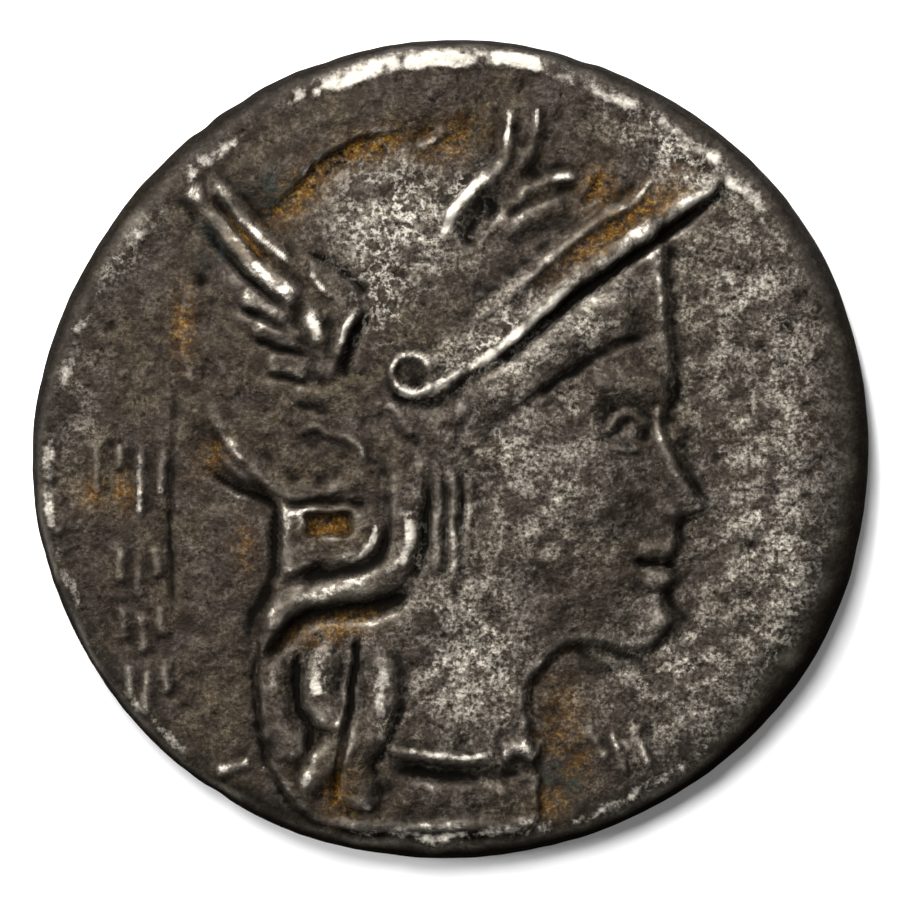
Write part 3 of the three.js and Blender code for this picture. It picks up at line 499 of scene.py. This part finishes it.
# Where the colour lies, each from 0 to 1
fineHigh = z - blur(z, 2)
broadHigh = z - blur(z, 7)
patchy = 0.25 + 0.75 * smooth(0.5 + 0.8 * noise(x, y, 0.9, 51) + 0.4 * noise(x, y, 0.35, 52))
wear = smooth((fineHigh - 0.006) / 0.05) * patchy + 0.2 * smooth((broadHigh - 0.05) / 0.15) * patchy
# Painted highlight along the rim's lip, strongest at the top towards the lamps
lipRiseAndHighlight = lipShare**1.5 * np.exp(-(((fromRim - 0.08) / 0.2) ** 2))
paintedHighlight = lipRiseAndHighlight * (0.75 + 0.5 * noise(x, y, 0.6, 53) + 0.35 * noise(x, y, 0.2, 54))
# Painted highlights on crests and ridges that catch the lamps
highlightLines = {
    "lines": [  # painted highlights on crests facing the lamps: points, reach and strength
        (visor["ridges"][0][0], (0.24, 0.11), 0.46),
        ([(-0.2, 1.5), (0.6, 1.9), (1.4, 2.45)], 0.2, 0.3),
        ([(-2.98, -4.8), (-3.06, -5.2), (-3.05, -5.7)], 0.22, 0.4),
        ([(-1.55, -4.9), (-1.5, -5.6), (-1.6, -6.3)], 0.26, 0.4),
        ([(-4.0, -4.9), (-4.05, -5.5)], 0.16, 0.25),
        ([(-0.96, -1.4), (-0.9, -2.1), (-1.1, -2.6), (-1.6, -2.95)], 0.2, 0.4),
        ([(-1.9, -3.08), (-3.0, -3.3), (-3.7, -3.6)], 0.16, 0.3),
        ([(-3.2, 3.15), (-3.08, 2.8), (-2.95, 2.45)], 0.2, 0.48),
        ([(-2.02, 3.2), (-2.33, 2.78), (-2.53, 2.3)], 0.12, 0.5),
        ([(-3.2, 4.05), (-2.95, 3.75), (-2.6, 3.45)], 0.1, 0.4),
        ([(-4.6, 4.3), (-4.1, 3.88), (-3.6, 3.48)], 0.17, 0.45),
        ([(-4.7, 5.22), (-4.25, 4.82), (-3.5, 4.15)], 0.12, 0.4),
        ([(0.95, 6.35), (0.5, 5.92), (0.1, 5.4), (-0.2, 4.6)], 0.17, 0.5),
        ([(1.3, 7.9), (1.33, 7.3), (1.2, 6.6)], 0.1, 0.45),
        ([(1.98, 7.9), (2.01, 7.2)], 0.09, 0.4),
        ([(2.2, 6.1), (2.55, 6.22), (2.98, 6.17)], 0.13, 0.4),
        ([(-1.25, 1.4), (-0.85, 1.24), (-0.4, 1.36), (0.1, 1.62)], 0.2, 0.5),
        ([(3.7, 5.35), (4.3, 5.8), (4.7, 6.25)], 0.1, 0.3),
        ([(-2.6, -2.62), (-2.05, -2.48), (-1.75, -2.15), (-1.7, -1.6)], 0.12, 0.4),
        ([(-4.6, 3.3), (-4.2, 3.15)], 0.15, 0.3),
        ([(-1.2, -6.9), (0.2, -7.04), (1.1, -6.98)], 0.13, 0.35),
        ([(1.3, -6.9), (1.9, -6.88)], 0.25, 0.15),
        ([(-0.7, 6.85), (-0.3, 7.15)], 0.14, 0.3),
        ([(-1.95, -7.9), (-1.8, -8.3)], 0.16, 0.3),
        ([(-4.8, -7.25), (-4.2, -7.35), (-3.6, -7.15)], 0.14, 0.25),
        ([(-5.45, 0.8), (-5.0, 0.02), (-4.6, -0.35)], 0.1, 0.25),
        ([(-2.6, 0.35), (-2.1, 0.1), (-1.88, -0.4)], 0.1, 0.25),
        ([(0.02, -1.7), (0.1, -2.4), (0.06, -3.0)], 0.14, 0.3),
        ([(-7.08, 0.1), (-7.12, -0.9), (-7.1, -1.6)], 0.13, 0.35),
        ([(-7.08, -3.7), (-7.05, -4.7)], 0.12, 0.25),
    ],
    "grain": 0.25,
    "uneven": 0.5,
}
patches = 1 + highlightLines["uneven"] * noise(x, y, highlightLines["grain"], 58)
for points, width, strength in highlightLines["lines"]:
    paintedHighlight = np.maximum(paintedHighlight, ridge(wx, wy, points, width, strength) * patches)
# Dark patina in the recesses plus painted shade in creases and undercuts
patinaAndShade = np.clip(smooth(-fineHigh / 0.04) * 0.6 + smooth(-broadHigh / 0.13) * 0.5, 0, 1)
# Painted shade on the rim, heaviest at the lower right away from the lamps
rimPaintedShade = aroundCoin(flan["rimPaintedShade"], angle) * (1 + 0.25 * noise(x, y, 0.7, 57)) * (1 - 0.9 * lipRiseAndHighlight)
patinaAndShade = np.maximum(patinaAndShade, rimPaintedShade * np.exp(-((fromRim / 0.4) ** 2)))
toning = {
    "gold": [(-3.4, 5.9, 0.9, 0.4, 45, 0.95), (-1.9, 6.9, 1.0, 0.36, 20, 0.85),
             (0.0, 7.1, 0.8, 0.45, 30, 0.75),
             (3.9, 5.1, 1.5, 0.36, 38, 1.0), (3.4, 6.0, 0.35, 0.4, 0, 1.0), (-6.1, 2.8, 0.22, 0.8, 0, 0.9),
             (-5.4, -0.2, 0.5, 0.3, 30, 0.6), (-4.7, 4.7, 0.7, 0.2, -45, 0.8), (-8.2, -1.0, 0.3, 0.4, 0, 0.7),
             (-7.5, -1.0, 0.25, 0.4, 0, 0.7), (-2.75, -1.8, 0.6, 0.25, 0, 0.9),
             (-2.6, -4.15, 0.8, 0.25, 12, 1.0),
             (-2.5, -7.9, 0.35, 0.6, 0, 0.8), (2.6, -6.3, 0.5, 1.0, 0, 0.5), (2.3, -8.1, 0.35, 0.3, 0, 0.8),
             (-4.7, -2.25, 0.25, 0.5, 0, 0.6), (5.1, 5.6, 0.5, 0.25, 40, 0.8), (2.9, -7.2, 0.4, 0.4, 0, 0.6)],
    "worn": [(-1.2, 5.2, 1.2, 1.2, 0, 0.8), (-1.5, 3.9, 0.6, 1.2, 0, 0.7), (0.9, 2.4, 1.2, 0.35, 38, 0.7),
             (0.3, 5.9, 0.6, 0.3, 50, 0.7), (-7.6, 4.6, 1.0, 0.4, 50, 0.5), (5.0, 7.0, 1.4, 0.5, -35, 0.7),
             (7.8, 1.0, 0.7, 2.2, 0, 0.3), (7.6, -3.0, 0.8, 2.0, -15, 0.4), (-1.5, -5.8, 0.2, 0.7, 0, 0.8),
             (-3.0, -5.2, 0.2, 0.6, 0, 0.6), (-0.9, -2.0, 0.2, 0.8, 0, 0.8), (0.8, -4.9, 0.7, 1.0, 0, 0.4)],
    # Painted shade under the chin, between the strands and near the lower rim
    "paintedShade": [(-2.55, -7.8, 0.3, 0.5, 0, 0.75), (5.3, -7.2, 1.8, 0.6, 35, 0.75), (2.7, -7.4, 0.6, 0.8, 0, 0.6),
             (-6.2, -7.0, 1.2, 0.5, -45, 0.3), (2.2, -6.2, 0.35, 0.7, 0, 0.6),
             (3.0, -5.0, 1.0, 0.35, 15, 0.5)],
    "cool": [(-4.1, 5.9, 0.6, 0.4, 0, 0.6), (-5.5, 4.8, 0.4, 0.5, 0, 0.5), (2.5, -7.6, 0.5, 0.4, 0, 0.6)],
    "frost": [(7.0, 3.0, 1.6, 3.2, 0, 0.9), (7.4, -2.0, 1.6, 3.0, 0, 1.0), (5.6, -5.6, 2.2, 1.8, -40, 0.95),
              (5.6, 6.4, 2.0, 0.8, -45, 0.8), (2.0, -0.5, 1.8, 2.2, 0, 0.75), (0.5, -4.7, 1.4, 2.2, 0, 1.0),
              (-0.9, 5.0, 1.4, 1.2, 0, 0.8), (2.4, 2.5, 2.0, 0.7, 37, 1.0), (-2.0, 4.9, 0.8, 1.2, 0, 0.5),
              (1.2, 3.0, 1.8, 0.5, 38, 0.9), (0.2, -1.6, 0.6, 1.6, 0, 0.6),
              (-7.9, 4.8, 1.2, 0.7, 45, 0.4), (-8.6, 1.0, 0.6, 1.6, 0, 0.35), (-2.2, -4.9, 1.3, 1.2, 0, 0.3)],
}
net = blobs(x, y, toning["worn"])
# Painted shade spots join the dark of the recesses
patinaAndShade = np.maximum(patinaAndShade, blobs(x, y, toning["paintedShade"]))
gold = blobs(x, y, toning["gold"])
cool = blobs(x, y, toning["cool"])
frost = 0.04 + 0.96 * blobs(x, y, toning["frost"])
print("wear, pits and toning")

# The reverse: a round shield with a boss inside a wreath, worn flat where the coin rests
reverse = {
    "shieldRadius": 3.9, "shieldRise": 0.14, "shieldSlope": 0.7, "bossRadius": 1.7, "wreathRadius": 6.3,
    "leaves": 15, "leafLength": 1.5, "leafWidth": 0.85, "leafTurn": 1.1, "rise": 0.4,
}
backReach, backAngle = discGrid(flan["cells"] // 2)
backRadius = backReach * (flanRadius(backAngle) - flan["reverseShoulder"])
backX, backY = backRadius * np.cos(backAngle), backRadius * np.sin(backAngle)


def disc(size, rise):  # rise * quarter circle over the slope at its rim
    t = np.clip((size - backRadius) / reverse["shieldSlope"], 0, 1)
    return rise * np.sqrt(1 - (1 - t) ** 2)


shield = disc(reverse["shieldRadius"], reverse["shieldRise"])
backRelief = np.maximum(shield, disc(reverse["bossRadius"], reverse["rise"]))
for turn in np.arange(reverse["leaves"]) / reverse["leaves"] * fullTurn:
    dx, dy = backX - reverse["wreathRadius"] * np.cos(turn), backY - reverse["wreathRadius"] * np.sin(turn)
    lean = turn + reverse["leafTurn"]
    along = (dx * np.cos(lean) + dy * np.sin(lean)) / reverse["leafLength"]
    across = (dy * np.cos(lean) - dx * np.sin(lean)) / reverse["leafWidth"]
    leaf = reverse["rise"] * smooth(1 - np.hypot(along, across)) - 0.05 * smooth(1 - np.abs(across) / 0.1)
    backRelief = np.maximum(backRelief, leaf)
backRough = 0.015 * noise(backX, backY, 0.9, 21) + 0.012 * noise(backX, backY, 0.4, 22)
backZ = np.maximum(flan["reverseFieldZ"] - backRelief + backRough, 0)
backHigh = blur(backZ, 4) - backZ
backWear = smooth(backHigh / 0.1) * 0.4 + 0.2 * (backZ < 0.004)
# Dark patina plus painted shade in the reverse's recesses
backPatinaAndShade = smooth(-backHigh / 0.1)


# Rim of a grid in order, counter-clockwise from its lower left corner
def rimOrder(cells):
    k = np.arange(cells)
    columns = cells + 1
    return np.concatenate([k, k * columns + cells, cells * columns + cells - k, (cells - k) * columns])


# The edge: quarter ellipses from the shoulder out to the equator and back in to the reverse
cells = flan["cells"]
rim = rimOrder(cells)
rimAngle = angle.ravel()[rim]
rimFlan, rimShoulder, rimZ = flanRadius(rimAngle), shoulderWidth(rimAngle), z.ravel()[rim]
edgeX, edgeY, edgeZ = [], [], []


def edgeRing(share, width, faceZ):
    bend = share * np.pi / 2
    lift = 1 + share
    dent = 0.02 * noise(rimFlan * np.cos(rimAngle) * lift, rimFlan * np.sin(rimAngle) * lift, 0.5, 31)
    ring = rimFlan - width * (1 - np.sin(bend)) + dent * np.sin(np.pi * share)
    edgeX.append(ring * np.cos(rimAngle))
    edgeY.append(ring * np.sin(rimAngle))
    edgeZ.append(flan["equatorZ"] + (faceZ - flan["equatorZ"]) * np.cos(bend))


for share in flan["upperShares"]:
    edgeRing(share, rimShoulder, rimZ)
edgeRing(flan["lowerShare"], flan["reverseShoulder"], np.full(rim.shape, flan["reverseFieldZ"]))

allX = np.concatenate([x.ravel(), *edgeX, backX.ravel()])
allY = np.concatenate([y.ravel(), *edgeY, backY.ravel()])
allZ = np.concatenate([z.ravel(), *edgeZ, backZ.ravel()])
allX -= (allX.min() + allX.max()) / 2
allY -= (allY.min() + allY.max()) / 2


def gridQuads(cells, first):  # corner numbers of every cell, counter-clockwise seen from above
    columns = cells + 1
    corner = (np.arange(cells)[:, None] * columns + np.arange(cells)).ravel() + first
    return np.stack([corner, corner + 1, corner + columns + 1, corner + columns], 1)


front = gridQuads(cells, 0)
firstEdge = (cells + 1) ** 2
ringCount = len(edgeX)
rings = [rim] + [firstEdge + k * len(rim) + np.arange(len(rim)) for k in range(ringCount)]
band = [np.stack([a, b, np.roll(b, -1), np.roll(a, -1)], 1) for a, b in zip(rings[:-1], rings[1:])]
firstBack = firstEdge + ringCount * len(rim)
backRim = rimOrder(cells // 2) + firstBack
last = rings[-1]
here, half, there = last[0::2], last[1::2], np.roll(last, -2)[0::2]
nextBack = np.roll(backRim, -1)
seams = ((here, backRim, half), (half, backRim, nextBack), (half, nextBack, there))
stitch = np.concatenate([np.stack(t, 1) for t in seams])
back = gridQuads(cells // 2, firstBack)[:, ::-1]
quads = np.concatenate([front, *band, back])
cornersOfFaces = np.concatenate([quads.ravel(), stitch.ravel()])
sizes = np.concatenate([np.full(len(quads), 4), np.full(len(stitch), 3)])
starts = np.concatenate([[0], np.cumsum(sizes)[:-1]])

mesh = bpy.data.meshes.new("denariusMesh")
mesh.vertices.add(len(allX))
mesh.vertices.foreach_set("co", (np.stack([allX, allY, allZ], 1) * mm).ravel())
mesh.loops.add(len(cornersOfFaces))
mesh.loops.foreach_set("vertex_index", cornersOfFaces.astype(np.int32))
mesh.polygons.add(len(sizes))
mesh.polygons.foreach_set("loop_start", starts.astype(np.int32))
mesh.polygons.foreach_set("use_smooth", np.ones(len(sizes), bool))
mesh.update(calc_edges=True)
mesh.validate()


def attribute(name, frontValue, edgeValue, backValue):
    edge = np.concatenate([np.broadcast_to(v, rim.shape) for v in edgeValue])
    values = np.concatenate([frontValue.ravel(), edge, np.broadcast_to(backValue, backX.shape).ravel()])
    made = mesh.attributes.new(name, "FLOAT", "POINT")
    made.data.foreach_set("value", np.clip(values, 0, 1).astype(np.float32))


none = [0.0] * ringCount
edgeHighlight = aroundCoin(flan["lipRiseAndHighlight"], rimAngle)
rimX, rimY = rimFlan * np.cos(rimAngle), rimFlan * np.sin(rimAngle)
edgeSpots = smooth((noise(rimX, rimY, 0.8, 61) - 0.1) / 0.7)
# On the edge, wear also carries a painted highlight towards the lamps, with random bright spots
attribute("wear", wear, [0.25 * edgeHighlight + 0.25 * edgeSpots, 0.0, 0.0, 0.0, 0.1], backWear)
# Painted shade on the edge, heaviest at the lower right, lighter where the painted highlight falls
edgePaintedShade = 0.55 + 0.45 * aroundCoin(flan["rimPaintedShade"], rimAngle)
shoulderPaintedShade = 0.95 * edgePaintedShade - 0.4 * edgeHighlight - 0.2 * edgeSpots
attribute("patinaAndShade", patinaAndShade, [shoulderPaintedShade, edgePaintedShade, edgePaintedShade, edgePaintedShade, 0.8], backPatinaAndShade)
attribute("net", net, none, 0.0)
# Painted highlight on the rim's lip and on crests that catch the lamps
attribute("lip", paintedHighlight, [0.3 * edgeHighlight, 0.0, 0.0, 0.0, 0.0], 0.0)
attribute("gold", gold, none, 0.0)
attribute("cool", cool, none, 0.0)
attribute("frost", frost, [0.15, 0.0, 0.0, 0.0, 0.0], 0.25)
triangles = len(quads) * 2 + len(stitch)
print("coin mesh:", triangles, "triangles")

coin = bpy.data.objects.new("denarius", mesh)
bpy.context.scene.collection.objects.link(coin)
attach(coin, "root")
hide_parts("coin")

# Toned silver: dark patina with painted shade in the hollows and on the edge, bright metal on the worn
# heights, painted highlights on the lip and crests, speckled frost and two tonings
silver = bpy.data.materials.new("tonedSilver")
silver.use_nodes = True
nodes, links = silver.node_tree.nodes, silver.node_tree.links
nodes.clear()


def node(kind, **values):
    made = nodes.new(kind)
    for name, value in values.items():
        setattr(made, name, value)
    return made


def feed(socket, value):
    if isinstance(value, bpy.types.NodeSocket):
        links.new(value, socket)
    else:
        socket.default_value = value


def math(operation, a, b, clamp=True):
    made = node("ShaderNodeMath", operation=operation, use_clamp=clamp)
    feed(made.inputs[0], a)
    feed(made.inputs[1], b)
    return made.outputs[0]


def mix(amount, a, b):
    made = node("ShaderNodeMix", data_type="RGBA")
    feed(made.inputs["Factor"], amount)
    feed(made.inputs[6], a)
    feed(made.inputs[7], b)
    return made.outputs[2]


def read(name):
    return node("ShaderNodeAttribute", attribute_name=name).outputs["Fac"]


def spread(value, fromLow, fromHigh, toLow=0.0, toHigh=1.0):
    made = node("ShaderNodeMapRange", interpolation_type="SMOOTHSTEP")
    feed(made.inputs["Value"], value)
    ends = {"From Min": fromLow, "From Max": fromHigh, "To Min": toLow, "To Max": toHigh}
    for name, number in ends.items():
        made.inputs[name].default_value = number
    return made.outputs["Result"]


place = node("ShaderNodeTexCoord").outputs["Object"]


def grains(size, detail=4.0, harsh=0.6):  # noise of this size in mm
    made = node("ShaderNodeTexNoise")
    links.new(place, made.inputs["Vector"])
    made.inputs["Scale"].default_value = 1 / (size * mm)
    made.inputs["Detail"].default_value = detail
    made.inputs["Roughness"].default_value = harsh
    return made.outputs["Fac"]


colours = {
    "patina": (0.022, 0.0165, 0.012, 1),
    "umber": (0.034, 0.0245, 0.0135, 1),
    "plum": (0.029, 0.022, 0.0185, 1),
    "steel": (0.100, 0.083, 0.063, 1),
    # near-black for pits, patina and painted shade
    "blackPatinaAndShade": (0.0035, 0.003, 0.0024, 1),
    "worn": (0.17, 0.15, 0.124, 1),
    # bare silver for worn metal and for painted highlights
    "bareSilverAndHighlight": (0.52, 0.48, 0.41, 1),
    "rust": (0.075, 0.032, 0.008, 1),
    "gold": (0.24, 0.15, 0.03, 1),
    "teal": (0.03, 0.045, 0.042, 1),
}
fine = grains(0.1, 5.0, 0.7)
middle = grains(0.5, 5.0, 0.65)
broad = grains(1.5, 3.0, 0.5)
colour = mix(spread(broad, 0.4, 0.6), colours["plum"], colours["umber"])
colour = mix(spread(middle, 0.62, 0.4), colour, colours["patina"])
steelAmount = math("MULTIPLY", spread(fine, 0.4, 0.72), spread(middle, 0.34, 0.6, 0.2, 1.0))
steelAmount = math("MULTIPLY", steelAmount, spread(read("frost"), 0.0, 0.6, 0.65, 1.1))
colour = mix(steelAmount, colour, colours["steel"])
frostGrain = math("MULTIPLY", spread(fine, 0.36, 0.72), spread(middle, 0.43, 0.6, 0.12, 1.0))
frostAmount = math("MULTIPLY", read("frost"), frostGrain)
frostAmount = math("MULTIPLY", frostAmount, spread(broad, 0.38, 0.58, 0.55, 1.15))
colour = mix(frostAmount, colour, colours["bareSilverAndHighlight"])
# Dark patina with painted shade in recesses, undercuts and on the edge
colour = mix(read("patinaAndShade"), colour, colours["blackPatinaAndShade"])
pitting = grains(0.24, 5.0, 0.75)
colour = mix(spread(pitting, 0.455, 0.3, 0.0, 0.95), colour, colours["blackPatinaAndShade"])
goldAmount = math("MULTIPLY", read("gold"), spread(grains(0.22, 5.0, 0.7), 0.36, 0.6))
colour = mix(goldAmount, colour, mix(spread(fine, 0.45, 0.68), colours["rust"], colours["gold"]))
colour = mix(math("MULTIPLY", read("cool"), spread(grains(0.3), 0.4, 0.65)), colour, colours["teal"])
threads = math("ABSOLUTE", math("SUBTRACT", grains(0.6, 4.0, 0.6), 0.5, False), 0.0)
netGrain = math("MULTIPLY", read("net"), spread(fine, 0.38, 0.6))
netAmount = math("MULTIPLY", spread(threads, 0.01, 0.05, 1.0, 0.0), netGrain)
colour = mix(netAmount, colour, colours["bareSilverAndHighlight"])
coarse = grains(0.14, 5.0, 0.7)
colour = mix(math("MULTIPLY", read("wear"), spread(coarse, 0.3, 0.6, 0.3, 0.9)), colour, colours["worn"])
wearSum = math("ADD", math("MULTIPLY", read("wear"), 0.45), math("MULTIPLY", coarse, 0.9), False)
colour = mix(spread(wearSum, 0.76, 1.05), colour, colours["bareSilverAndHighlight"])
# Painted highlight on the lip and on crests that catch the lamps
lipSum = math("ADD", read("lip"), math("MULTIPLY", coarse, 0.6), False)
colour = mix(spread(lipSum, 0.5, 0.85), colour, colours["bareSilverAndHighlight"])
lustre = spread(read("patinaAndShade"), 0.2, 0.9, 1.0, 0.0)

tilt = node("ShaderNodeBump")
grit = math("MULTIPLY", grains(0.09, 6.0, 0.75), 0.5)
links.new(math("ADD", grit, grains(0.3, 4.0, 0.6), False), tilt.inputs["Height"])
links.new(spread(read("wear"), 0.0, 0.6, 0.9, 0.6), tilt.inputs["Strength"])
tilt.inputs["Distance"].default_value = 0.07 * mm

shader = node("ShaderNodeBsdfPrincipled")
links.new(colour, shader.inputs["Base Color"])
links.new(tilt.outputs["Normal"], shader.inputs["Normal"])
links.new(math("MULTIPLY", lustre, 0.8), shader.inputs["Metallic"])
links.new(spread(lustre, 0.0, 1.0, 0.8, 0.46), shader.inputs["Roughness"])
links.new(math("MULTIPLY", lustre, 0.1), shader.inputs["Specular IOR Level"])
result = node("ShaderNodeOutputMaterial")
links.new(shader.outputs["BSDF"], result.inputs["Surface"])
mesh.materials.append(silver)

# White table, soft studio light from the top of the picture, camera straight above
floorMesh = bpy.data.meshes.new("floorMesh")
side = 0.5  # metres from the middle
corners = [(-side, -side, 0), (side, -side, 0), (side, side, 0), (-side, side, 0)]
floorMesh.from_pydata(corners, [], [(0, 1, 2, 3)])
floor = bpy.data.objects.new("floor", floorMesh)
floor.location.z = -0.01 * mm
bpy.context.scene.collection.objects.link(floor)
paper = bpy.data.materials.new("paper")
paper.use_nodes = True
sheet = paper.node_tree.nodes["Principled BSDF"]
sheet.inputs["Base Color"].default_value = (0.9, 0.9, 0.9, 1)
sheet.inputs["Roughness"].default_value = 0.9
sheet.inputs["Specular IOR Level"].default_value = 0.0
sheet.inputs["Emission Color"].default_value = (1, 1, 1, 1)
sheet.inputs["Emission Strength"].default_value = 0.12
floorMesh.materials.append(paper)

world = bpy.data.worlds.new("studio")
world.use_nodes = True
world.node_tree.nodes["Background"].inputs["Color"].default_value = (1, 1, 1, 1)
world.node_tree.nodes["Background"].inputs["Strength"].default_value = 0.07
bpy.context.scene.world = world


def areaLight(name, azimuth, elevation, distance, size, power):
    a, e = np.radians(azimuth), np.radians(elevation)
    lamp = bpy.data.lights.new(name, "AREA")
    lamp.shape = "DISK"
    lamp.size = size
    lamp.energy = power
    made = bpy.data.objects.new(name, lamp)
    made.location = Vector((np.cos(a) * np.cos(e), np.sin(a) * np.cos(e), np.sin(e))) * distance
    made.rotation_mode = "QUATERNION"
    made.rotation_quaternion = (-made.location).to_track_quat("-Z", "Y")
    bpy.context.scene.collection.objects.link(made)


# Azimuth and elevation in degrees, distance and size in metres, power in watts
areaLight("top", 120, 68, 0.14, 0.05, 0.18)
areaLight("rake", 110, 43, 0.14, 0.04, 0.28)
areaLight("left", 178, 52, 0.14, 0.04, 0.09)

camera = bpy.data.objects.new("camera", bpy.data.cameras.new("camera"))
camera.data.lens = 250
camera.data.sensor_width = 36
camera.data.clip_start = 0.001
camera.location = (-0.0115 * mm, -0.023 * mm, 144.5 * mm)
bpy.context.scene.collection.objects.link(camera)
bpy.context.scene.camera = camera
bpy.context.scene.view_settings.view_transform = "Standard"
